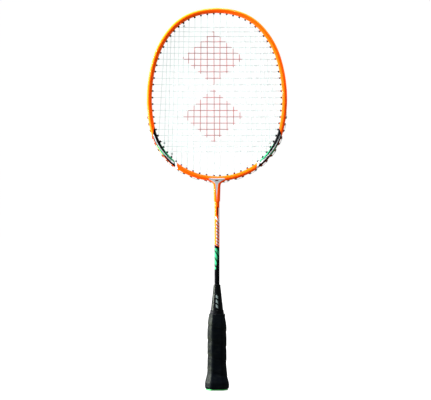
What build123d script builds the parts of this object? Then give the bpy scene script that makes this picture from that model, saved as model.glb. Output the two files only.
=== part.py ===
from build123d import *
import os
from math import asin, cos, degrees, radians, sin, tan

import numpy

# A short (junior) badminton racket. Millimetres. +Z runs along the racket from the butt to the
# tip of the head, the butt's flat end is at z = 0, and the string bed lies in the XZ plane, with
# the front of the racket towards -Y. The right half of the head is worked out, then mirrored.

# --- Head: an aluminium tube bent to a rounded "isometric" outline ---
LENGTH = 535.0
HEAD_LENGTH = 242.8
HEAD_WIDTH = 196.6
# The outer edge is six tangent arcs a side. Each ends at this heading, in degrees from +X.
ARC_ENDS = (17.6, 47.1, 72.8, 102.4, 152.4, 180.0)
TOP_RADIUS = 105.2
SHOULDER_RADIUS = 114.0
BOTTOM_RADIUS = 100.2
TUBE_WIDTH = 6.9
TUBE_DEPTH = 10.4
TUBE_FLAT = 6.0
RIDGE_INSET = 2.7
TUBE_WALL = 0.9
RIDGE_FILLET = 3.0
EDGE_FILLET = 2.4
GROOVE_WIDTH = 4.0
GROOVE_DEPTH = 1.7
GROOVE_RUNS_ON = 6.8

# --- Stringing: 72 holes, 22 mains and 22 crosses ---
HOLES_A_SIDE = 36
# Hole number and distance along the inner edge from the top centre. Between these the holes are
# evenly spread, and so they are from the last of them to the bottom centre.
HOLE_MARKS = ((-0.5, 0.0), (4, 41.3), (8, 76.4), (20, 186.8), (31, 286.0))
LAST_GROOVED = 20
THROAT = 35
MAINS_A_SIDE = 11
CROSSES = 22
FIRST_CROSS_HOLE = 6
LAST_MAIN_BOTTOM = 24
MAIN_TAIL_HOLE = 25
TOP_TAIL_HOLE = 5
BOTTOM_TAIL_HOLE = 28
STRING_DIAMETER = 0.85
SHARED_OFFSET = 0.5
WEAVE_CREST = 0.88
WEAVE_CUT = 0.18
SETTLE = 4.0

# --- Grommets ---
NARROW_BARREL, NARROW_BORE = 2.4, 1.4
WIDE_BARREL, WIDE_BORE = 2.8, 2.0
HEAD_RIM = 0.6
LOW_HEAD = 0.7
PROUD_HEAD = 1.1
BARREL_STANDS = 2.0
HOLE_CLEARANCE = 0.05
STRING_CLEARANCE = 0.05
KNOT_CLEARANCE = 0.15
KNOT_MIDDLE = 0.9

# --- T-joint ---
JOINT_HALF = 11.5
SPIGOT_ANGLE = 12.0
STEM_BOTTOM = 263.7
STEM_TOP_HALF = 4.9
STEM_BOTTOM_HALF = 4.3
STEM_SHOULDER = 285.3
STEM_DEPTH = 9.0
STEM_FILLET = 3.0
WING_TOP = 291.9
SOCKET_DEPTH = 18.0
THROAT_MOUTH_X = 4.7
THROAT_SEAT = (9.0, 291.7)

# --- Shaft ---
SHAFT_DIAMETER = 7.0
SHAFT_WALL = 0.7
SHAFT_BOTTOM = 58.0

# --- Handle: an octagonal wooden core, 45 degree bevels, X is the wider way ---
CORE_HALF = (11.3, 10.0)
CORE_BEVEL = 4.7
CORE_BOTTOM = 4.0
CORE_SHOULDER = 90.0
NOSE_TOP = 131.0
NOSE_RADII = (8.3, 4.7)
CONE_TOP = 147.3
CONE_TOP_RADIUS = 4.8
CONE_WALL = 1.3
CONE_SLOT = 8.0
PIN_DIAMETER = 1.6
PIN_HEIGHT = 76.0

# --- Grip: synthetic leather strip, height and half width of its outer face up the handle ---
GRIP_PROFILE = (
    (1.7, 15.6), (2.8, 16.7), (4.9, 17.05), (10.5, 16.75), (16.1, 15.35), (21.7, 14.15),
    (27.4, 13.85), (34.0, 13.3), (84.0, 13.35), (89.1, 13.1), (94.7, 12.6), (100.3, 11.75),
    (106.0, 11.0),
)
GRIP_DEPTH_LOSS = 1.3
GRIP_THICKNESS = 1.95
BUTT_TOP = 30.0
END_PLATE_HALF = 15.3
END_PLATE_THICKNESS = 1.6
TAPE_RANGE = (102.0, 111.5)
TAPE_THICKNESS = 0.35
STAPLE_WIRE = 0.6
STAPLE_CROWN = 9.0
STAPLE_LEG = 7.0
STAPLE_HEIGHT = 14.0

# Cylinders and cones stand on their base.
STANDING = (Align.CENTER, Align.CENTER, Align.MIN)


# ---------------------------------------------------------------- the head's outline

def head_arcs():
    """The right half of the outer edge, from the top: each arc's centre x and z, radius and headings."""
    ends = [0.0, *ARC_ENDS]
    sines = [sin(radians(a)) for a in ends]
    cosines = [cos(radians(a)) for a in ends]
    across = [sines[i + 1] - sines[i] for i in range(6)]
    down = [cosines[i + 1] - cosines[i] for i in range(6)]
    known_across = TOP_RADIUS * across[0] + SHOULDER_RADIUS * across[2]
    known_down = TOP_RADIUS * down[0] + SHOULDER_RADIUS * down[2] + BOTTOM_RADIUS * down[5]
    matrix = [
        [across[1], 1 - sines[3], 0],
        [across[1], across[3], across[4]],
        [down[1], down[3], down[4]],
    ]
    right = [
        HEAD_WIDTH / 2 - known_across,
        -known_across - BOTTOM_RADIUS * across[5],
        -HEAD_LENGTH - known_down,
    ]
    corner, side, lower = numpy.linalg.solve(matrix, right)
    arcs = []
    x, z = 0.0, LENGTH
    for i, r in enumerate((TOP_RADIUS, corner, SHOULDER_RADIUS, side, lower, BOTTOM_RADIUS)):
        arcs.append((x - r * sines[i], z - r * cosines[i], r, ends[i], ends[i + 1]))
        x += r * across[i]
        z += r * down[i]
    return arcs


ARCS = head_arcs()
INNER_LENGTHS = [(r - TUBE_WIDTH) * radians(b - a) for _, _, r, a, b in ARCS]


def heading_at(distance):
    """The arc and heading at this distance along the inner edge from the top centre."""
    for arc, length in zip(ARCS, INNER_LENGTHS):
        if distance <= length:
            return arc, arc[3] + degrees(distance / (arc[2] - TUBE_WIDTH))
        distance -= length
    return ARCS[-1], ARCS[-1][4]


def hole_distance(k):
    """How far hole k is from the top centre, along the inner edge."""
    marks = [*HOLE_MARKS, (HOLES_A_SIDE - 0.5, sum(INNER_LENGTHS))]
    return float(numpy.interp(k, *zip(*marks)))


def rim_point(arc, heading, rise, y=0.0):
    """A point that stands `rise` outside the outer edge, at this heading on this arc."""
    reach = arc[2] + rise
    return Vector(arc[0] + reach * sin(radians(heading)), y, arc[1] + reach * cos(radians(heading)))


def outward(heading):
    return Vector(sin(radians(heading)), 0, cos(radians(heading)))


def along_head(section, first, last):
    """The section, drawn with its outer edge at x = 0, carried round the right half of the head."""
    solids = []
    for arc in ARCS:
        start, end = max(arc[3], first), min(arc[4], last)
        if end - start < 1e-6:
            continue
        forward = Vector(cos(radians(start)), 0, -sin(radians(start)))
        plane = Plane(origin=rim_point(arc, start, 0), x_dir=outward(start), z_dir=forward)
        axis = Axis((arc[0], 0, arc[1]), (0, 1, 0))
        solids.append(revolve(plane * section, axis, end - start))
    return solids


def both_sides(solids):
    return solids + [mirror(s, about=Plane.YZ) for s in solids]


# ---------------------------------------------------------------- the tube's section

def tube_section(shrink=0.0):
    """Six-sided tube with a soft ridge at front and back. Its outer edge is at x = -shrink."""
    half_depth, half_flat = TUBE_DEPTH / 2, TUBE_FLAT / 2
    outline = Polyline(
        (0, -half_flat), (0, half_flat), (-RIDGE_INSET, half_depth), (-TUBE_WIDTH, half_flat),
        (-TUBE_WIDTH, -half_flat), (-RIDGE_INSET, -half_depth), close=True,
    )
    face = make_face(outline)
    ridges = [v for v in face.vertices() if abs(abs(v.Y) - half_depth) < 1e-6]
    edges = [v for v in face.vertices() if abs(abs(v.Y) - half_flat) < 1e-6]
    face = fillet(ridges, RIDGE_FILLET)
    corners = [
        v for v in face.vertices()
        if min(abs(v.X - e.X) + abs(v.Y - e.Y) for e in edges) < 1e-6
    ]
    face = fillet(corners, EDGE_FILLET)
    return offset(face, -shrink) if shrink else face


def grooved_void():
    """The hollow of the tube where the string groove takes up its outer side."""
    floor = GROOVE_DEPTH + TUBE_WALL
    keep = Pos(-floor - TUBE_WIDTH / 2, 0) * Rectangle(TUBE_WIDTH, TUBE_DEPTH)
    return tube_section(TUBE_WALL) & keep


# ---------------------------------------------------------------- holes and grommets

def is_wide(k):
    return TOP_TAIL_HOLE <= k <= 10 or LAST_MAIN_BOTTOM <= k <= BOTTOM_TAIL_HOLE


def hole_frame(k):
    """Grommet k on the right side: its seat, the way it points out, its length to the inner edge."""
    arc, heading = heading_at(hole_distance(k))
    if k == THROAT:
        inner_heading = 180 - degrees(asin(THROAT_MOUTH_X / (arc[2] - TUBE_WIDTH)))
        mouth = rim_point(arc, inner_heading, -TUBE_WIDTH)
        seat = Vector(THROAT_SEAT[0], 0, THROAT_SEAT[1])
        return seat, (seat - mouth).normalized(), (seat - mouth).length
    sink = GROOVE_DEPTH if k <= LAST_GROOVED else 0.0
    return rim_point(arc, heading, -sink), outward(heading), TUBE_WIDTH - sink


def hole_plane(k):
    seat, way, _ = hole_frame(k)
    return Plane(origin=seat, x_dir=(0, 1, 0), z_dir=way)


def head_height(k):
    return LOW_HEAD if k <= LAST_GROOVED else PROUD_HEAD


def drill(k):
    """What grommet k's hole takes out of the tube or the T-joint."""
    radius = (WIDE_BARREL if is_wide(k) else NARROW_BARREL) / 2 + HOLE_CLEARANCE
    below = hole_frame(k)[2] + 2.0
    hole = Cylinder(radius, below + 2.0, align=STANDING)
    return hole_plane(k) * Pos(0, 0, -below) * hole


def throat_seat():
    """The flat seat cut in the T-joint's wing for a splayed throat grommet's head."""
    radius = NARROW_BARREL / 2 + HEAD_RIM + HOLE_CLEARANCE
    return hole_plane(THROAT) * Cylinder(radius, 6.0, align=STANDING)


def grommet(k):
    """One flanged sleeve: a rounded head outside the tube, a barrel that stands out of its inner edge."""
    barrel, bore = (WIDE_BARREL, WIDE_BORE) if is_wide(k) else (NARROW_BARREL, NARROW_BORE)
    below = hole_frame(k)[2] + BARREL_STANDS
    height = head_height(k)
    head = Cylinder(barrel / 2 + HEAD_RIM, height, align=STANDING)
    head = fillet(head.edges().sort_by(Axis.Z)[-1], 0.4)
    sleeve = Pos(0, 0, -below) * Cylinder(barrel / 2, below, align=STANDING)
    tip = sleeve.edges().sort_by(Axis.Z)[0]
    sleeve = chamfer(tip, 0.2)
    solid = head + sleeve - Pos(0, 0, -below) * Cylinder(bore / 2, below + height, align=STANDING)
    return hole_plane(k) * solid


# ---------------------------------------------------------------- frame and T-joint

def joint_heading():
    return 180 - degrees(asin(JOINT_HALF / BOTTOM_RADIUS))


def groove_end():
    """Heading at which the groove stops, past the last grooved hole."""
    return heading_at(hole_distance(LAST_GROOVED) + GROOVE_RUNS_ON)[1]


def frame():
    """The head's tube: hollow, grooved over its upper part, drilled for grommets, open at the throat."""
    stop, seam = groove_end(), joint_heading()
    wall_on = degrees(TUBE_WALL * 1.5 / TOP_RADIUS)
    groove = Pos(-GROOVE_DEPTH / 2 + 1, 0) * Rectangle(GROOVE_DEPTH + 2, GROOVE_WIDTH)
    tube = along_head(tube_section(), 0, seam)
    cuts = along_head(groove, 0, stop)
    cuts += along_head(grooved_void(), 0, stop + wall_on)
    cuts += along_head(tube_section(TUBE_WALL), stop + wall_on, seam)
    cuts += [drill(k) for k in range(THROAT)]
    half = Solid.fuse(*[s.solid() for s in tube])
    half = half.cut(*[s.solid() for s in cuts])
    return half + mirror(half, about=Plane.YZ)


def stem():
    """The T-joint's tapering stem and the concave wings that carry it into the crossbar."""
    wing = WING_TOP - STEM_SHOULDER
    start, shoulder = (STEM_BOTTOM_HALF, STEM_BOTTOM), (STEM_TOP_HALF, STEM_SHOULDER)
    turn = (STEM_TOP_HALF + wing * (1 - cos(radians(45))), STEM_SHOULDER + wing * sin(radians(45)))
    tip = (STEM_TOP_HALF + wing, WING_TOP)
    seam = rim_point(ARCS[-1], joint_heading(), -TUBE_WIDTH / 2)
    right = Line(start, shoulder) + ThreePointArc(shoulder, turn, tip)
    right += Polyline(tip, (seam.X, seam.Z), (0, seam.Z), (0, STEM_BOTTOM), start)
    half = make_face(right)
    profile = half + mirror(half, about=Plane.YZ)
    body = extrude(Plane.XZ * profile, STEM_DEPTH / 2, both=True)
    long_edges = [
        e for e in body.edges()
        if min(abs(e.center().X), abs(e.center().Y)) > 1 and STEM_BOTTOM + 0.1 < e.center().Z < WING_TOP
    ]
    return fillet(long_edges, STEM_FILLET)


def t_joint():
    """Crossbar that closes the ring, spigots that plug into the tube's ends, stem and shaft socket."""
    seam = joint_heading()
    bars = along_head(tube_section(), seam, 180)
    bars += along_head(tube_section(TUBE_WALL), seam - SPIGOT_ANGLE, seam)
    body = stem()
    for solid in both_sides(bars):
        body += solid
    body -= upright(SHAFT_DIAMETER / 2, STEM_BOTTOM, STEM_BOTTOM + SOCKET_DEPTH)
    right = [drill(k) for k in (33, 34, THROAT)] + [throat_seat()]
    for tool in both_sides(right):
        body -= tool
    return body


# ---------------------------------------------------------------- shaft and handle

def upright(radius, bottom, top):
    return Pos(0, 0, bottom) * Cylinder(radius, top - bottom, align=STANDING)


def cross_pin(radius):
    """The brad that runs front to back through the core and the shaft."""
    return Pos(0, 0, PIN_HEIGHT) * Rot(90, 0, 0) * Cylinder(radius, 2 * CORE_HALF[1])


def shaft():
    outer, inner = SHAFT_DIAMETER / 2, SHAFT_DIAMETER / 2 - SHAFT_WALL
    top = STEM_BOTTOM + SOCKET_DEPTH
    tube = upright(outer, SHAFT_BOTTOM, top) - upright(inner, SHAFT_BOTTOM, top)
    return tube - cross_pin(PIN_DIAMETER / 2)


def octagon(half_x, half_y, bevel):
    """A bevelled rectangle, the section of the handle at one height."""
    corners = []
    for sx, sy in ((1, 1), (-1, 1), (-1, -1), (1, -1)):
        pair = [(sx * half_x, sy * (half_y - bevel)), (sx * (half_x - bevel), sy * half_y)]
        corners += pair if sx * sy > 0 else pair[::-1]
    return make_face(Polyline(*corners, close=True))


def octagon_at(height, half):
    """The handle's section `half` wide on each side of centre, a little shallower than wide."""
    bevel = CORE_BEVEL * half / CORE_HALF[0]
    return Pos(0, 0, height) * octagon(half, half - GRIP_DEPTH_LOSS, bevel)


def stacked(levels):
    """A solid through octagons at (height, half width)."""
    return loft([octagon_at(z, half) for z, half in levels], ruled=True)


def grip_half(height):
    """The outer half width of the grip at this height."""
    for (z0, a), (z1, b) in zip(GRIP_PROFILE, GRIP_PROFILE[1:]):
        if height <= z1:
            return a + (b - a) * (height - z0) / (z1 - z0)
    return GRIP_PROFILE[-1][1]


def cone_half(height):
    """Half width of the cone cap's outside at this height: a straight taper."""
    share = (height - CORE_SHOULDER) / (CONE_TOP - CORE_SHOULDER)
    return CORE_HALF[0] - 0.2 + (CONE_TOP_RADIUS - CORE_HALF[0] + 0.2) * share


def handle_core():
    """Wooden octagon with a round tapered nose for the cone cap, bored for the shaft."""
    body = stacked([(CORE_BOTTOM, CORE_HALF[0]), (CORE_SHOULDER, CORE_HALF[0])])
    nose = Cone(*NOSE_RADII, NOSE_TOP - CORE_SHOULDER, align=STANDING)
    body += Pos(0, 0, CORE_SHOULDER) * nose
    body -= upright(SHAFT_DIAMETER / 2, SHAFT_BOTTOM, NOSE_TOP)
    return body - cross_pin(PIN_DIAMETER / 2) - staple()


def cone_solid(inset, bottom, top):
    """The cone cap's outside, drawn in by `inset`, between two heights."""
    levels = []
    for z in (bottom, top):
        share = (z - CORE_SHOULDER) / (CONE_TOP - CORE_SHOULDER)
        half_y = CORE_HALF[1] - 0.2 + (CONE_TOP_RADIUS - CORE_HALF[1] + 0.2) * share
        levels.append(Pos(0, 0, z) * Ellipse(cone_half(z) - inset, half_y - inset))
    return loft(levels, ruled=True)


def cone_cap():
    """Moulded cone over the core's nose, open underneath, bored for the shaft."""
    body = cone_solid(0, CORE_SHOULDER, CONE_TOP)
    top_edge = body.edges().sort_by(Axis.Z)[-1]
    body = fillet(top_edge, 0.7)
    body -= cone_solid(CONE_WALL, CORE_SHOULDER, CONE_TOP - CONE_SLOT)
    return body - upright(SHAFT_DIAMETER / 2, CORE_SHOULDER, CONE_TOP)


def butt_levels():
    """Heights and half widths of the butt cap's outside, which the grip lies on."""
    levels = [(END_PLATE_THICKNESS, grip_half(GRIP_PROFILE[1][0]) - GRIP_THICKNESS)]
    levels += [(z, half - GRIP_THICKNESS) for z, half in GRIP_PROFILE[2:7]]
    return levels + [(BUTT_TOP, CORE_HALF[0] + 0.2)]


def butt_cap():
    """Flared cup on the end of the core, under the grip."""
    body = stacked(butt_levels())
    body -= stacked([(CORE_BOTTOM, CORE_HALF[0]), (BUTT_TOP, CORE_HALF[0])])
    return body - staple()


def end_plate():
    """Flat plate that closes the butt. Its rim shows below the grip."""
    body = extrude(octagon_at(0, END_PLATE_HALF), END_PLATE_THICKNESS)
    body = fillet(body.edges().filter_by(Axis.Z), 2.0)
    return fillet(body.faces().sort_by(Axis.Z)[0].edges(), 0.9)


def grip_wrap():
    """The wound strip as one sleeve, thinned over the cone cap at its top."""
    over_butt = butt_levels()[1:]
    body = stacked(GRIP_PROFILE)
    body -= stacked([(GRIP_PROFILE[0][0], over_butt[0][1]), *over_butt])
    body -= stacked([(BUTT_TOP, CORE_HALF[0]), (CORE_SHOULDER, CORE_HALF[0])])
    body -= cone_solid(0, CORE_SHOULDER, CONE_TOP)
    return body - staple() - finishing_tape()


def finishing_tape():
    """Thin tape wound over the grip's top edge and on to the cone cap."""
    low, high = TAPE_RANGE
    top = cone_solid(-TAPE_THICKNESS - 0.25, low, high)
    return top - cone_solid(0, low, high)


def shaft_pin():
    return cross_pin(PIN_DIAMETER / 2)


def staple():
    """The staple that holds the strip's first turn, pressed in at the back of the butt."""
    depth = grip_half(STAPLE_HEIGHT) - GRIP_DEPTH_LOSS
    wire = STAPLE_WIRE
    crown = Pos(0, depth - wire / 2 - 0.1, STAPLE_HEIGHT) * Box(STAPLE_CROWN, wire, wire)
    for side in (-1, 1):
        x = side * (STAPLE_CROWN - wire) / 2
        crown += Pos(x, depth - STAPLE_LEG / 2 - 0.1, STAPLE_HEIGHT) * Box(wire, STAPLE_LEG, wire)
    return crown


# ---------------------------------------------------------------- strings

def mouth(k, side, y):
    """Where a string leaves grommet k towards the middle of the head."""
    seat, way, length = hole_frame(k)
    point = seat - way * (length + BARREL_STANDS + 0.2)
    return Vector(side * point.X, y, point.Z)


def offset_in(k):
    """How far each string sits off the centre of hole k, to leave room for a second string."""
    return SHARED_OFFSET if is_wide(k) else 0.0


def crest(k, side, y):
    """Where a string turns over grommet k's head, outside the tube."""
    seat, way, _ = hole_frame(k)
    point = seat + way * (head_height(k) + STRING_DIAMETER / 2 + STRING_CLEARANCE)
    return Vector(side * point.X, y, point.Z)


def main_holes(i):
    """The top and bottom holes of main i, counted outwards from 1."""
    return i - 1, LAST_MAIN_BOTTOM if i == MAINS_A_SIDE else HOLES_A_SIDE - i


def main_x(i, z):
    """How far main i is from the middle at height z, or None where it doesn't reach."""
    top, bottom = (mouth(k, 1, 0) for k in main_holes(i))
    if not bottom.Z + 1.0 < z < top.Z - 1.0:
        return None
    return bottom.X + (top.X - bottom.X) * (z - bottom.Z) / (top.Z - bottom.Z)


def main_points(i, side, downwards):
    """One main from crest to crest, in at one hole and out at the other."""
    top, bottom = main_holes(i)
    up, low = -offset_in(top), -offset_in(bottom)
    a, b = mouth(top, side, up), mouth(bottom, side, low)
    way = (b - a).normalized()
    inner_a, inner_b = a + way * SETTLE, b - way * SETTLE
    middle = [Vector(p.X, 0, p.Z) for p in (inner_a, inner_b)]
    points = [crest(top, side, up), a, *middle, b, crest(bottom, side, low)]
    return points if downwards else points[::-1]


def main_y(i, z):
    """How far off the middle of the bed main i lies at height z. It settles there within SETTLE."""
    distance, offset = min((abs(mouth(k, 1, 0).Z - z), offset_in(k)) for k in main_holes(i))
    return -offset * max(0.0, 1 - distance / SETTLE)


def coil(anchor, way, toward, turns=2, per_turn=8):
    """Turns of a knot round a string that passes through anchor along `way`, starting on `toward`."""
    ring = (STRING_DIAMETER + KNOT_CLEARANCE) / cos(radians(180 / per_turn))
    rise = (STRING_DIAMETER + STRING_CLEARANCE) / per_turn
    across = way.cross(toward)
    points = []
    for n in range(turns * per_turn + 1):
        angle = radians(360 * n / per_turn)
        spoke = toward * (ring * cos(angle)) + across * (ring * sin(angle))
        points.append(anchor + spoke + way * (rise * n))
    return points


def tail(points_in, anchor, way, toward):
    """From the hole's crest through its mouth to a knot on a neighbouring main, with a cut end."""
    turns = coil(anchor, way, toward)
    last = turns[-1] + (turns[-1] - turns[-2]).normalized() * 2.0
    return [*points_in, *turns, last]


def half_main_route():
    """The right half of the main string, from the top centre out to its knot."""
    points = []
    for i in range(1, MAINS_A_SIDE + 1):
        points += main_points(i, 1, downwards=i % 2 == 1)
    z = mouth(MAIN_TAIL_HOLE, 1, 0).Z - 2.0
    neighbour = MAINS_A_SIDE - 1
    anchor = Vector(main_x(neighbour, z), main_y(neighbour, z - KNOT_MIDDLE), z)
    entry = [crest(MAIN_TAIL_HOLE, 1, -SHARED_OFFSET), mouth(MAIN_TAIL_HOLE, 1, -SHARED_OFFSET)]
    return points + tail(entry, anchor, Vector(0, 0, -1), Vector(0, -1, 0))


def main_route():
    right = half_main_route()
    left = [Vector(-p.X, p.Y, p.Z) for p in right]
    return left[::-1] + right


def cross_points(j, rightwards):
    """One cross from crest to crest, over and under the mains it meets."""
    k = FIRST_CROSS_HOLE + j - 1
    off = offset_in(k)
    z = mouth(k, 1, 0).Z
    reach = mouth(k, 1, 0).X
    points = [crest(k, -1, off), mouth(k, -1, off)]
    for n in range(-MAINS_A_SIDE, MAINS_A_SIDE + 1):
        x = main_x(abs(n), z) if n else None
        if x is None or x > reach - 2.0:
            continue
        column = n if n < 0 else n - 1
        over = 1 if (column + j) % 2 else -1
        points.append(Vector(x if n > 0 else -x, over * (WEAVE_CREST + WEAVE_CUT), z))
    points += [mouth(k, 1, off), crest(k, 1, off)]
    return points if rightwards else points[::-1]


def cross_route():
    """The cross string: a knot at the top left, every cross in turn, a knot at the bottom left."""
    points = []
    for j in range(1, CROSSES + 1):
        points += cross_points(j, rightwards=j % 2 == 1)
    ends = []
    for k, i, sign in ((TOP_TAIL_HOLE, 6, -1), (BOTTOM_TAIL_HOLE, 8, 1)):
        z = mouth(k, 1, 0).Z + sign * 2.4
        anchor = Vector(-main_x(i, z), main_y(i, z + sign * KNOT_MIDDLE), z)
        entry = [crest(k, -1, SHARED_OFFSET), mouth(k, -1, SHARED_OFFSET)]
        ends.append(tail(entry, anchor, Vector(0, 0, sign), Vector(0, 1, 0)))
    return ends[0][::-1] + points + ends[1]


def turn_radius(before, here, after):
    """The arc at one point of a string's route: it passes WEAVE_CUT inside, if the runs leave room."""
    half = radians((here - before).get_angle(after - here)) / 2
    if half < radians(0.05):
        return 0.0
    room = 0.45 * min((here - before).length, (after - here).length) / tan(half)
    wanted = WEAVE_CUT / (1 / cos(half) - 1)
    return min(room, wanted, 60.0)


def string(points):
    """A round string along straight runs joined by tangent arcs."""
    radii = [turn_radius(*points[n:n + 3]) for n in range(len(points) - 2)]
    path = FilletPolyline(*points, radius=radii)
    section = Plane(origin=path @ 0, z_dir=path % 0) * Circle(STRING_DIAMETER / 2)
    print("string: points", len(points), "length", round(path.length, 1))
    print("string: smallest and largest arc", round(min(radii), 2), round(max(radii), 1))
    return sweep(section, path=path)


# ---------------------------------------------------------------- nodes

def grommet_groups():
    """Grommets of one kind and place share a node, as separate solids."""
    bands = {
        "shoulder": range(TOP_TAIL_HOLE, 11),
        "side": range(11, LAST_GROOVED + 1),
        "flank": range(LAST_GROOVED + 1, LAST_MAIN_BOTTOM),
        "tie": range(LAST_MAIN_BOTTOM, BOTTOM_TAIL_HOLE + 1),
        "bottom": range(BOTTOM_TAIL_HOLE + 1, THROAT),
    }
    groups = {
        "grommets_top": both_sides([grommet(k) for k in range(TOP_TAIL_HOLE)]),
        "grommets_throat": both_sides([grommet(THROAT)]),
    }
    for place, numbers in bands.items():
        right = [grommet(k) for k in numbers]
        groups[f"grommets_{place}_right"] = right
        groups[f"grommets_{place}_left"] = [mirror(g, about=Plane.YZ) for g in right]
    return groups


def write(name, shape):
    export_step(shape, f"parts/{name}.step")


os.makedirs("parts", exist_ok=True)
for make in (
    frame, t_joint, shaft, handle_core, cone_cap, butt_cap, end_plate, grip_wrap, finishing_tape, shaft_pin,
):
    write(make.__name__, make())
write("grip_staple", staple())
for name, solids in grommet_groups().items():
    write(name, Compound(children=[s.solid() for s in solids]))
write("main_string", string(main_route()))
write("cross_string", string(cross_route()))
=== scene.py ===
import math

import bmesh
import bpy
import numpy as np
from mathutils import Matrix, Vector


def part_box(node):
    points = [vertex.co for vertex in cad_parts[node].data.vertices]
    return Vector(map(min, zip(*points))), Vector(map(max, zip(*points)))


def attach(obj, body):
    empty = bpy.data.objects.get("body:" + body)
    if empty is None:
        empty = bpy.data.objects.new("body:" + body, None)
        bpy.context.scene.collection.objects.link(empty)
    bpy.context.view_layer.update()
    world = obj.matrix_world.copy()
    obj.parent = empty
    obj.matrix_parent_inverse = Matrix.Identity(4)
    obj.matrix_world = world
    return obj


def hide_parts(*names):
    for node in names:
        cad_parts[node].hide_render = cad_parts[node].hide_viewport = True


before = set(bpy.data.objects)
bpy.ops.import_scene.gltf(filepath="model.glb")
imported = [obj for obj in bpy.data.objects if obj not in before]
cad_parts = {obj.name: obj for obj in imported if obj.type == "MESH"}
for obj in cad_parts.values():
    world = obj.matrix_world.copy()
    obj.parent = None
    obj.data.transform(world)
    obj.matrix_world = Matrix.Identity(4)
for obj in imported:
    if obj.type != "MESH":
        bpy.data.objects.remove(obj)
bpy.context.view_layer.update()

# A short badminton racket that stands on its butt. Metres, +Z along the racket, front towards -Y.
# The finishes and the grip's mesh are worked out in millimetres of the racket's own frame.
MM_PER_METRE = 1000

# Colours are linear red, green and blue.
ORANGE = (0.92, 0.084, 0.0013)
SILVER = (0.34, 0.385, 0.41)
WHITE = (0.62, 0.65, 0.66)
BLACK = (0.0008, 0.0010, 0.0014)
GREEN = (0.016, 0.18, 0.078)
DARK_BROWN = (0.10, 0.012, 0.002)
CONE_BLACK = (0.0008, 0.0010, 0.0016)
CONE_PRINT = (0.115, 0.15, 0.145)
GROMMET_BLACK = (0.0025, 0.0025, 0.003)
BUTT_BLACK = (0.010, 0.010, 0.011)
PLATE_GREEN = (0.05, 0.34, 0.085)
TAPE_BLACK = (0.0012, 0.0014, 0.0020)
LEATHER_BLACK = (0.0004, 0.0008, 0.0021)
LEATHER_DUST = (0.0035, 0.0045, 0.0045)
# Painted sheen: a lighter tone laid on the grip's left side, where the key light catches the wound strip.
LEATHER_PAINTED_SHEEN = (0.0062, 0.0076, 0.0042)
OLIVE_SHEEN = (0.88, 1.0, 0.74, 1.0)
CLEAR_NYLON = (0.47, 0.56, 0.54)
STENCIL_RED = (0.23, 0.0, 0.0016)
WOOD = (0.55, 0.36, 0.19)
WOOD_GRAIN = (0.36, 0.20, 0.09)
STEEL = (0.55, 0.55, 0.56)

# The head's lower corners are arcs about this point on each side, x and z, with this outer radius.
CORNER_CENTRE = (3.74, 385.25)
CORNER_RADIUS = 92.13

# The edges of the marks on those corners: a heading in degrees about the corner's centre, where 0 is up and
# 90 outwards, at the tube's outer edge, and how far the edge leans, in degrees for each millimetre inwards.
BAND_START, BAND_START_LEAN = 109.6, -1.15
BAND_END, BAND_END_LEAN = 144.1, -0.7
SLASH_END, SLASH_END_LEAN = 146.1, -0.65

# The two lozenges stencilled on the strings: half their size, and their centres.
LOZENGE_HALF_WIDTH, LOZENGE_HALF_HEIGHT = 43.0, 38.0
LOZENGE_X = -5.5
LOZENGE_HEIGHTS = (465.0, 384.0)

# The grip is a strip wound up the handle: its rise a turn, how far each turn stands out over the one below,
# and the height and part of a turn at which a turn starts.
GRIP_PITCH = 21.0
GRIP_STEP = 0.7
GRIP_START = 25.0
GRIP_START_TURN = 0.28

# The grip's outline: heights, and the half width there as a share of the widest. The last share is the top's.
GRIP_HEIGHTS = (4.9, 10.5, 16.1, 21.7, 27.4, 34.0, 84.0, 89.1, 94.7, 100.3)
GRIP_SHARES = (1.0, 0.982, 0.9, 0.83, 0.808, 0.78, 0.782, 0.768, 0.739, 0.692, 0.655)

# The grip's mesh.
GRIP_COLUMNS = 288
GRIP_ROWS = 560


# ---------------------------------------------------------------- node graphs

class Field:
    """A value in a material's node tree that adds, multiplies and compares like a number."""

    def __init__(self, tree, socket):
        self.tree, self.socket = tree, socket

    def math(self, operation, *others):
        node = self.tree.nodes.new("ShaderNodeMath")
        node.operation = operation
        for slot, value in zip(node.inputs, (self, *others)):
            if isinstance(value, Field):
                self.tree.links.new(value.socket, slot)
            else:
                slot.default_value = value
        return Field(self.tree, node.outputs[0])

    def __add__(self, other):
        return self.math("ADD", other)

    def __sub__(self, other):
        return self.math("SUBTRACT", other)

    def __mul__(self, other):
        return self.math("MULTIPLY", other)

    def __truediv__(self, other):
        return self.math("DIVIDE", other)

    def __abs__(self):
        return self.math("ABSOLUTE")

    def fraction(self):
        return self.math("FRACT")

    def most(self, other):
        return self.math("MAXIMUM", other)

    def ramp(self, low, high, start=0.0, end=1.0):
        """Goes smoothly from start to end as the value goes from low to high."""
        node = self.tree.nodes.new("ShaderNodeMapRange")
        node.interpolation_type = "SMOOTHSTEP"
        self.tree.links.new(self.socket, node.inputs["Value"])
        for name, value in (("From Min", low), ("From Max", high), ("To Min", start), ("To Max", end)):
            node.inputs[name].default_value = value
        return Field(self.tree, node.outputs[0])

    def above(self, edge, soft=0.12):
        """1 where the value is over the edge, which may itself be a field."""
        return (self - edge).ramp(-soft, soft)

    def below(self, edge, soft=0.12):
        """1 where the value is under the edge."""
        return (self - edge).ramp(-soft, soft, 1.0, 0.0)

    def between(self, low, high, soft=0.12):
        return self.above(low, soft) * self.below(high, soft)


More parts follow.
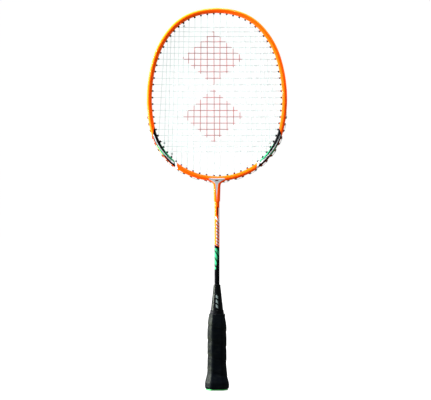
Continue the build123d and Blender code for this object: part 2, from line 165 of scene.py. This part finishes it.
class Finish:
    """A material with one Principled shader, and the racket's own coordinates in millimetres."""

    def __init__(self, name, colour, roughness, **settings):
        self.material = bpy.data.materials.new(name)
        self.material.use_nodes = True
        self.tree = self.material.node_tree
        self.shader = self.tree.nodes["Principled BSDF"]
        self.shader.inputs["Base Color"].default_value = (*colour, 1)
        self.shader.inputs["Roughness"].default_value = roughness
        for key, value in settings.items():
            self.shader.inputs[key.replace("_", " ")].default_value = value
        self.colour = colour
        coordinates = self.tree.nodes.new("ShaderNodeTexCoord")
        scale = self.tree.nodes.new("ShaderNodeVectorMath")
        scale.operation = "SCALE"
        scale.inputs["Scale"].default_value = MM_PER_METRE
        self.tree.links.new(coordinates.outputs["Object"], scale.inputs[0])
        self.place = scale.outputs[0]
        split = self.tree.nodes.new("ShaderNodeSeparateXYZ")
        self.tree.links.new(self.place, split.inputs[0])
        self.x, self.y, self.z = (Field(self.tree, s) for s in split.outputs)

    def noise(self, size, detail=2.0, stretch=None):
        """Noise with features about this many millimetres across."""
        node = self.tree.nodes.new("ShaderNodeTexNoise")
        node.inputs["Scale"].default_value = 1 / size
        node.inputs["Detail"].default_value = detail
        self.tree.links.new(self.stretched(stretch), node.inputs["Vector"])
        return Field(self.tree, node.outputs["Fac"])

    def cells(self, size, feature="F1"):
        """Distance pattern of pebble-like cells about this many millimetres across."""
        node = self.tree.nodes.new("ShaderNodeTexVoronoi")
        node.feature = feature
        node.inputs["Scale"].default_value = 1 / size
        self.tree.links.new(self.place, node.inputs["Vector"])
        return Field(self.tree, node.outputs["Distance"])

    def stretched(self, factors):
        """The racket's coordinates, each multiplied by its own factor."""
        if factors is None:
            return self.place
        node = self.tree.nodes.new("ShaderNodeVectorMath")
        node.operation = "MULTIPLY"
        node.inputs[1].default_value = factors
        self.tree.links.new(self.place, node.inputs[0])
        return node.outputs[0]

    def print_on(self, mask, colour):
        """Covers what is there with another colour where the mask is 1."""
        node = self.tree.nodes.new("ShaderNodeMix")
        node.data_type = "RGBA"
        under, over = (s for s in node.inputs if s.type == "RGBA")
        if isinstance(self.colour, tuple):
            under.default_value = (*self.colour, 1)
        else:
            self.tree.links.new(self.colour, under)
        over.default_value = (*colour, 1)
        self.tree.links.new(mask.socket, node.inputs["Factor"])
        self.colour = next(s for s in node.outputs if s.type == "RGBA")
        self.tree.links.new(self.colour, self.shader.inputs["Base Color"])

    def vary_roughness(self, field, low, high):
        """Lets the roughness wander between two values with a noise."""
        self.tree.links.new(field.ramp(0.25, 0.75, low, high).socket, self.shader.inputs["Roughness"])

    def bump(self, height, depth):
        """Surface relief: the height field, from 0 to 1, is this many millimetres deep."""
        node = self.tree.nodes.new("ShaderNodeBump")
        node.inputs["Distance"].default_value = depth / MM_PER_METRE
        self.tree.links.new(height.socket, node.inputs["Height"])
        self.tree.links.new(node.outputs[0], self.shader.inputs["Normal"])


# ---------------------------------------------------------------- finishes

def painted(name):
    """Orange gloss lacquer over metal or plastic, with faint orange peel and dust."""
    finish = Finish(name, ORANGE, 0.3, Coat_Weight=0.03, Coat_Roughness=0.1, Specular_IOR_Level=0.015)
    finish.vary_roughness(finish.noise(6.0, 4.0), 0.26, 0.38)
    finish.bump(finish.noise(1.4), 0.012)
    return finish


def frame_paint():
    """Orange, with a black band that holds a silver line and green flashes at each lower corner."""
    finish = painted("frame_paint")
    crisp = 0.15
    lower_head_top, rim = 375.0, 0.3
    across = abs(finish.x) - CORNER_CENTRE[0]
    up = finish.z - CORNER_CENTRE[1]
    heading = across.math("ARCTAN2", up) * math.degrees(1)
    depth = (across * across + up * up).math("SQRT") * -1 + CORNER_RADIUS
    band_start = depth * BAND_START_LEAN + BAND_START
    band_end = depth * BAND_END_LEAN + BAND_END
    slash_end = depth * SLASH_END_LEAN + SLASH_END

    lower_head = finish.z.below(lower_head_top, soft=2.0)
    off_the_rim = depth.above(rim, crisp)
    band = heading.above(band_start, crisp) * heading.below(band_end, crisp) * lower_head * off_the_rim
    finish.print_on(band, BLACK)
    slash = heading.above(band_end, crisp) * heading.below(slash_end, crisp) * lower_head
    finish.print_on(slash, WHITE)

    # One flash tapers along the band's outer edge, the other along its inner edge.
    outer_flash = heading.between(116.0, 130.0, soft=0.4)
    outer_flash = outer_flash * depth.below(heading.ramp(116.0, 121.0, 0.2, 2.5), crisp)
    outer_flash = outer_flash * depth.above(heading.ramp(125.0, 130.5, -0.5, 2.3), crisp)
    inner_flash = heading.between(118.0, 140.4, soft=0.4)
    inner_flash = inner_flash * depth.above(heading.ramp(122.0, 133.0, 6.5, 5.0), crisp)
    finish.print_on(outer_flash.most(inner_flash) * band, GREEN)

    # The line is two hair-thin strokes that swell and join towards its end.
    from_line = abs(depth - heading.ramp(108.0, 139.0, 2.5, 3.7))
    line_half_width = heading.ramp(134.0, 139.0, 0.52, 0.85)
    line_gap = heading.ramp(136.0, 138.0, 0.17, 0.0)
    line = from_line.between(line_gap, line_half_width, soft=0.07) * heading.between(108.0, 140.0, soft=0.3)
    finish.print_on(line * band, WHITE)
    return finish.material


def joint_paint():
    """Orange, with a silver wedge that narrows down the stem at front and back, and a bar in front."""
    finish = painted("joint_paint")
    x, y, z = finish.x, finish.y, finish.z
    foot, wing_foot, top = 264.6, 286.5, 296.4
    wing_height, wing_width = 8.0, 9.0
    bar_height, bar_half_width, bar_half_height = 292.9, 2.3, 0.8
    face_depth = 2.0

    stem_half = z.ramp(264.0, 290.0, 0.1, 1.7)
    wing = (z - wing_foot).most(0.0) / wing_height
    wing_half = wing * wing * wing_width
    wedge = abs(x + 0.4).below(stem_half + wing_half, soft=0.15) * z.below(top, soft=0.15)
    wedge = wedge * z.above(foot, soft=0.2) * abs(y).above(face_depth, soft=0.2)
    finish.print_on(wedge, SILVER)
    bar = abs(x + 0.3).below(bar_half_width, soft=0.15) * abs(z - bar_height).below(bar_half_height)
    finish.print_on(bar * y.below(-face_depth), DARK_BROWN)
    return finish.material


def shaft_paint():
    """Orange above and black below, with plain bars and green flashes down the front."""
    finish = painted("shaft_paint")
    x, z = finish.x, finish.z
    bar_span, stripe_span = (244.0, 256.0), (237.5, 254.8)
    rung_span, flash_span = (201.0, 236.0), (168.5, 198.0)
    slash_height, slash_half, slash_lean = 238.8, 1.3, 1.4
    rung_pitch, rung_lean = 4.6, 0.9
    flash_pitch, flash_lean = 10.0, 1.7
    black_top, black_lean = 201.5, -0.6
    front = finish.y.below(-0.4, soft=0.3)

    bar = x.between(-1.1, 1.2) * z.between(*bar_span)
    finish.print_on(bar * front, DARK_BROWN)
    stripe = x.above(2.1) * z.between(*stripe_span)
    slash = abs(z + x * slash_lean - slash_height).below(slash_half) * x.above(-2.0)
    finish.print_on(stripe.most(slash) * front, WHITE)

    column = x.between(-1.5, 2.7) * z.between(*rung_span) * front
    rung = ((z + x * rung_lean) / rung_pitch).fraction()
    finish.print_on(column * rung.between(0.1, 0.42, soft=0.05), DARK_BROWN)
    finish.print_on(column * rung.between(0.34, 0.86, soft=0.05) * x.between(-1.1, 2.5), SILVER)

    finish.print_on(z.below(x * black_lean + black_top), BLACK)
    flash = ((z + x * flash_lean) / flash_pitch).fraction().between(0.12, 0.82, soft=0.03)
    reach = z.ramp(166.0, 198.0, -1.8, 3.3)
    flash = flash * x.above(-3.2) * x.below(reach) * z.between(*flash_span)
    finish.print_on(flash * front, GREEN)
    return finish.material


def cone_plastic():
    """Gloss black moulding with three short pale bars on its front."""
    finish = Finish("cone_plastic", CONE_BLACK, 0.24, Specular_IOR_Level=0.05, Specular_Tint=OLIVE_SHEEN)
    finish.vary_roughness(finish.noise(4.0, 4.0), 0.2, 0.32)
    finish.bump(finish.noise(2.2, 3.0), 0.012)
    start, end, pitch, share, lean = 115.0, 134.0, 6.6, 0.62, 0.8
    half_width = 1.5
    slanted = finish.z + finish.x * lean
    bars = ((slanted - start) / pitch).fraction().below(share, soft=0.03) * slanted.between(start, end)
    finish.print_on(bars * abs(finish.x).below(half_width) * finish.y.below(-0.5, soft=0.3), CONE_PRINT)
    return finish.material


def moulded(name, colour, roughness):
    """Matt or satin moulded plastic with a fine grain."""
    finish = Finish(name, colour, roughness, Specular_IOR_Level=0.03)
    finish.vary_roughness(finish.noise(1.5, 3.0), roughness - 0.05, roughness + 0.1)
    finish.bump(finish.noise(0.35), 0.01)
    return finish.material


def tape_vinyl():
    """Black vinyl tape with wound edges."""
    finish = Finish("tape_vinyl", TAPE_BLACK, 0.4, Specular_IOR_Level=0.035)
    tape_pitch = 4.2
    turn = finish.x.math("ARCTAN2", finish.y) / (2 * math.pi)
    wound = (finish.z / tape_pitch + turn).fraction()
    finish.vary_roughness(finish.noise(2.0, 3.0), 0.34, 0.5)
    finish.bump(wound.ramp(0.0, 0.12) + finish.noise(0.8) * 0.2, 0.09)
    return finish.material


def grip_leather():
    """Black synthetic leather: fine pebbled grain and dust in it, with a painted sheen along each turn's edge
    and its folds on the lit left side.
    """
    finish = Finish("grip_leather", LEATHER_BLACK, 0.43, Specular_IOR_Level=0.034, Specular_Tint=OLIVE_SHEEN)
    pebbles = finish.cells(0.75, "SMOOTH_F1")
    pores = finish.cells(0.32)
    creases = finish.noise(7.0, 3.0, stretch=(1.0, 1.0, 2.4))
    finish.print_on(creases.ramp(0.45, 0.75, 0.0, 0.5), LEATHER_DUST)

    # Painted sheen: the lit left side of the grip is lightened along each turn's edge and its folds, standing
    # in for light caught by the wrap.
    turn = finish.y.math("ARCTAN2", finish.x) / (2 * math.pi)
    lap = ((finish.z - GRIP_START) / GRIP_PITCH + turn + GRIP_START_TURN).fraction()
    folds = (lap * 5.0 + creases * 1.5).fraction().ramp(0.0, 0.7, 1.0, 0.0)
    folds = folds * creases.ramp(0.42, 0.58, 0.2, 0.8)
    painted_sheen = lap.ramp(0.02, 0.35, 0.8, 0.0).most(folds)
    lit_left_side = finish.x.ramp(-11.0, -4.5, 1.0, 0.08) * finish.z.ramp(16.0, 36.0)
    finish.print_on(painted_sheen * lit_left_side, LEATHER_PAINTED_SHEEN)

    finish.vary_roughness(pebbles, 0.38, 0.5)
    finish.bump(pebbles * 0.7 + pores * 0.2 + creases * 1.4, 0.16)
    return finish.material


def string_nylon():
    """Clear-white nylon string, stencilled red where two lozenges lie on the bed."""
    finish = Finish("string_nylon", CLEAR_NYLON, 0.3, Specular_IOR_Level=0.1)
    upper, lower = (
        abs(finish.x - LOZENGE_X) / LOZENGE_HALF_WIDTH + abs(finish.z - height) / LOZENGE_HALF_HEIGHT
        for height in LOZENGE_HEIGHTS)
    stencil = upper.below(1.0, soft=0.012).most(lower.below(1.0, soft=0.012))
    finish.print_on(stencil, STENCIL_RED)
    clear = stencil.ramp(0.0, 1.0, 0.6, 0.0)
    finish.tree.links.new(clear.socket, finish.shader.inputs["Transmission Weight"])
    fibres = ((finish.x + finish.z) / 0.45).fraction().ramp(0.0, 1.0)
    finish.bump(fibres, 0.01)
    return finish.material


def bare_wood():
    """Pale turned wood with grain along the handle."""
    finish = Finish("core_wood", WOOD, 0.6)
    grain = finish.noise(1.6, 4.0, stretch=(1.0, 1.0, 0.08))
    finish.print_on(grain.ramp(0.4, 0.7), WOOD_GRAIN)
    finish.bump(grain, 0.05)
    return finish.material


def bright_steel():
    """Drawn steel wire with fine scratches."""
    finish = Finish("pin_steel", STEEL, 0.3, Metallic=1.0)
    scratches = finish.noise(0.5, 3.0, stretch=(1.0, 1.0, 0.1))
    finish.vary_roughness(scratches, 0.22, 0.42)
    finish.bump(scratches, 0.01)
    return finish.material


# ---------------------------------------------------------------- the grip

def octagon_reach(angle, half_x, half_y, bevel):
    """How far the handle's rounded octagon reaches at this angle."""
    sharpness = 22.0
    diagonal = (half_x + half_y - bevel) / math.sqrt(2)
    total = 0.0
    for n in range(8):
        flat = n * math.pi / 4
        distance = (half_x, diagonal, half_y, diagonal)[n % 4]
        total = total + np.maximum(np.cos(angle - flat), 0) ** sharpness / distance ** sharpness
    return total ** (-1 / sharpness)


def grip_half_width(rows, bottom, top, widest):
    """Half the grip's width at each height: a smoothed outline, rounded in at the foot."""
    samples, window_size, overrun = 900, 41, 4
    fine = np.linspace(bottom - overrun, top + overrun, samples)
    outline = np.interp(fine, (*GRIP_HEIGHTS, top), np.array(GRIP_SHARES) * widest)
    window = np.hanning(window_size)
    padded = np.pad(outline, window_size // 2, mode="edge")
    smooth = np.convolve(padded, window / window.sum(), mode="valid")
    foot_radius, foot_depth = 3.0, 0.75
    into = np.clip(foot_radius - (rows - bottom), 0, foot_radius)
    rounding = (foot_radius - np.sqrt(foot_radius ** 2 - into ** 2)) * foot_depth
    return np.interp(rows, fine, smooth) - rounding


def grip_piece():
    """The wound strip: each turn laps over the one below, so its lower edge stands proud."""
    low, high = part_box("grip_wrap")
    bottom, top = low.z * MM_PER_METRE, high.z * MM_PER_METRE
    widest, deepest = high.x * MM_PER_METRE, high.y * MM_PER_METRE
    rows = np.linspace(bottom, top, GRIP_ROWS)
    angles = np.linspace(0, 2 * math.pi, GRIP_COLUMNS, endpoint=False)
    angle, height = np.meshgrid(angles, rows)
    half_x = np.repeat(grip_half_width(rows, bottom, top, widest)[:, None], GRIP_COLUMNS, axis=1)
    half_y = half_x - (widest - deepest)
    bevel_share = 0.46
    core = octagon_reach(angle, half_x, half_y, bevel_share * half_x)

    # Over one turn, from 0 to 1, the strip steps out at its edge, falls back slowly and bulges in the middle.
    edge, fall, bulge, mean = 0.045, 0.85, 0.35, 0.75
    phase = ((height - GRIP_START) / GRIP_PITCH + angle / (2 * math.pi) + GRIP_START_TURN) % 1.0
    rise = np.clip(phase / edge, 0, 1)
    rise = rise * rise * (3 - 2 * rise)
    lap = rise * (1 - fall * phase) + bulge * np.sin(math.pi * phase)

    # The steps fade out at the butt and under the tape, and the hand-wound surface wanders a little.
    flat_foot, foot_fade, top_fade, least = 6.0, 10.0, 6.0, 0.25
    fade = np.clip((height - flat_foot) / foot_fade, 0, 1) * np.clip((top - height) / top_fade, least, 1)
    wander = 0.05 * np.sin(3 * angle + height * 0.37) + 0.04 * np.sin(5 * angle - height * 0.21)
    outer = core + GRIP_STEP * (lap - mean) * fade + wander

    wall, top_wall, thinning = 1.8, 0.7, 88.0
    thick = np.interp(rows, (bottom, thinning, top), (wall, wall, top_wall))[:, None]
    return closed_sleeve("grip", angles, rows, outer, outer - thick)


def closed_sleeve(name, angles, rows, outer, inner):
    """A closed mesh between two reaches given on a grid of heights and angles, in millimetres."""
    count, turns = outer.shape
    points = []
    for reach in (outer, inner):
        x = reach * np.cos(angles)
        y = reach * np.sin(angles)
        z = np.repeat(rows[:, None], turns, axis=1)
        points.append(np.stack([x, y, z], axis=-1).reshape(-1, 3) / MM_PER_METRE)
    faces = []
    skin = count * turns
    for r in range(count - 1):
        for a in range(turns):
            b = (a + 1) % turns
            lower, upper = r * turns, (r + 1) * turns
            faces.append((lower + a, lower + b, upper + b, upper + a))
            faces.append((skin + lower + b, skin + lower + a, skin + upper + a, skin + upper + b))
    last = (count - 1) * turns
    for a in range(turns):
        b = (a + 1) % turns
        faces.append((a, skin + a, skin + b, b))
        faces.append((last + b, skin + last + b, skin + last + a, last + a))
    mesh = bpy.data.meshes.new(name)
    mesh.from_pydata(np.concatenate(points).tolist(), [], faces)
    mesh.shade_smooth()
    return link(bpy.data.objects.new(name, mesh))


def link(thing):
    """Puts an object into the scene."""
    bpy.context.scene.collection.objects.link(thing)
    return thing


# ---------------------------------------------------------------- dressing the nodes

def dress():
    """Each CAD node gets its finish. The plain grip solid is replaced by the wound strip."""
    nylon = moulded("grommet_nylon", GROMMET_BLACK, 0.45)
    steel = bright_steel()
    cord = string_nylon()
    finishes = {
        "frame": frame_paint(),
        "t_joint": joint_paint(),
        "shaft": shaft_paint(),
        "handle_core": bare_wood(),
        "cone_cap": cone_plastic(),
        "butt_cap": moulded("butt_plastic", BUTT_BLACK, 0.5),
        "end_plate": moulded("plate_plastic", PLATE_GREEN, 0.3),
        "finishing_tape": tape_vinyl(),
        "shaft_pin": steel,
        "grip_staple": steel,
        "main_string": cord,
        "cross_string": cord,
    }
    for name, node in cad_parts.items():
        node.data.materials.clear()
        node.data.materials.append(finishes.get(name, nylon))
    grip = grip_piece()
    grip.data.materials.append(grip_leather())
    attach(grip, "root")
    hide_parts("grip_wrap")


# ---------------------------------------------------------------- camera, floor and lights

VIEW_CENTRE = Vector((-0.0021, 0, 0.2658))
VIEW_WIDTH = 0.6046
CAMERA_DISTANCE = 2.0
CAMERA_REACH = 50
SENSOR_WIDTH = 36

FLOOR_HALF_SIZE = 7.0
FLOOR_DROP = 0.0002
FLOOR_GREY = (0.01, 0.01, 0.01)
FLOOR_GLOW = 0.97
DOME_RADIUS = 9.5
DOME_GLOW = 1.0

LIGHT_TARGET = Vector((0, 0, 0.3))
SURROUND_LIGHT = 0.6


def make_camera():
    """Square on to the front, wide enough for the photo's margins at the racket's own distance."""
    camera = link(bpy.data.objects.new("camera", bpy.data.cameras.new("camera")))
    camera.location = VIEW_CENTRE - Vector((0, CAMERA_DISTANCE, 0))
    camera.rotation_euler = (math.radians(90), 0, 0)
    camera.data.sensor_width = SENSOR_WIDTH
    camera.data.lens = SENSOR_WIDTH * CAMERA_DISTANCE / VIEW_WIDTH
    camera.data.clip_end = CAMERA_REACH
    bpy.context.scene.camera = camera


def backdrop(name, shape, colour, glow):
    """A matt surface with an even glow, which throws no light on the racket and isn't reflected in it."""
    finish = Finish(name, colour, 0.9, Emission_Color=(1, 1, 1, 1), Emission_Strength=glow)
    mesh = bpy.data.meshes.new(name)
    shape.to_mesh(mesh)
    mesh.materials.append(finish.material)
    surface = link(bpy.data.objects.new(name, mesh))
    surface.visible_diffuse = False
    surface.visible_glossy = False
    return surface


def make_floor():
    """A pale floor, and a pale dome far behind everything."""
    sheet = bmesh.new()
    bmesh.ops.create_grid(sheet, x_segments=4, y_segments=4, size=FLOOR_HALF_SIZE)
    floor = backdrop("floor", sheet, FLOOR_GREY, FLOOR_GLOW)
    floor.location.z = -FLOOR_DROP
    ball = bmesh.new()
    bmesh.ops.create_icosphere(ball, subdivisions=4, radius=DOME_RADIUS)
    dome = backdrop("dome", ball, (0, 0, 0), DOME_GLOW)
    dome.visible_shadow = False


def soft_light(name, place, width, height, power):
    """A rectangular lamp that faces the racket and that the camera doesn't see. Power is in watts."""
    light = bpy.data.lights.new(name, "AREA")
    light.shape = "RECTANGLE"
    light.size, light.size_y = width, height
    light.energy = power
    lamp = link(bpy.data.objects.new(name, light))
    lamp.location = place
    lamp.rotation_euler = (LIGHT_TARGET - Vector(place)).to_track_quat("-Z", "Y").to_euler()
    lamp.visible_camera = False


def make_lights():
    """A tall strip at the left, a soft box above, a weak fill behind and an even surround."""
    soft_light("key_left", (-1.5, -0.08, 0.75), 0.5, 1.2, 280)
    soft_light("top", (0.0, 0.05, 2.6), 1.0, 0.4, 450)
    soft_light("back_fill", (-0.6, 2.2, 0.7), 1.6, 1.6, 36)
    world = bpy.data.worlds.new("studio")
    bpy.context.scene.world = world
    world.use_nodes = True
    background = world.node_tree.nodes["Background"]
    background.inputs["Color"].default_value = (1, 1, 1, 1)
    background.inputs["Strength"].default_value = SURROUND_LIGHT


make_camera()
make_floor()
make_lights()
dress()
bpy.context.scene.view_settings.view_transform = "Standard"
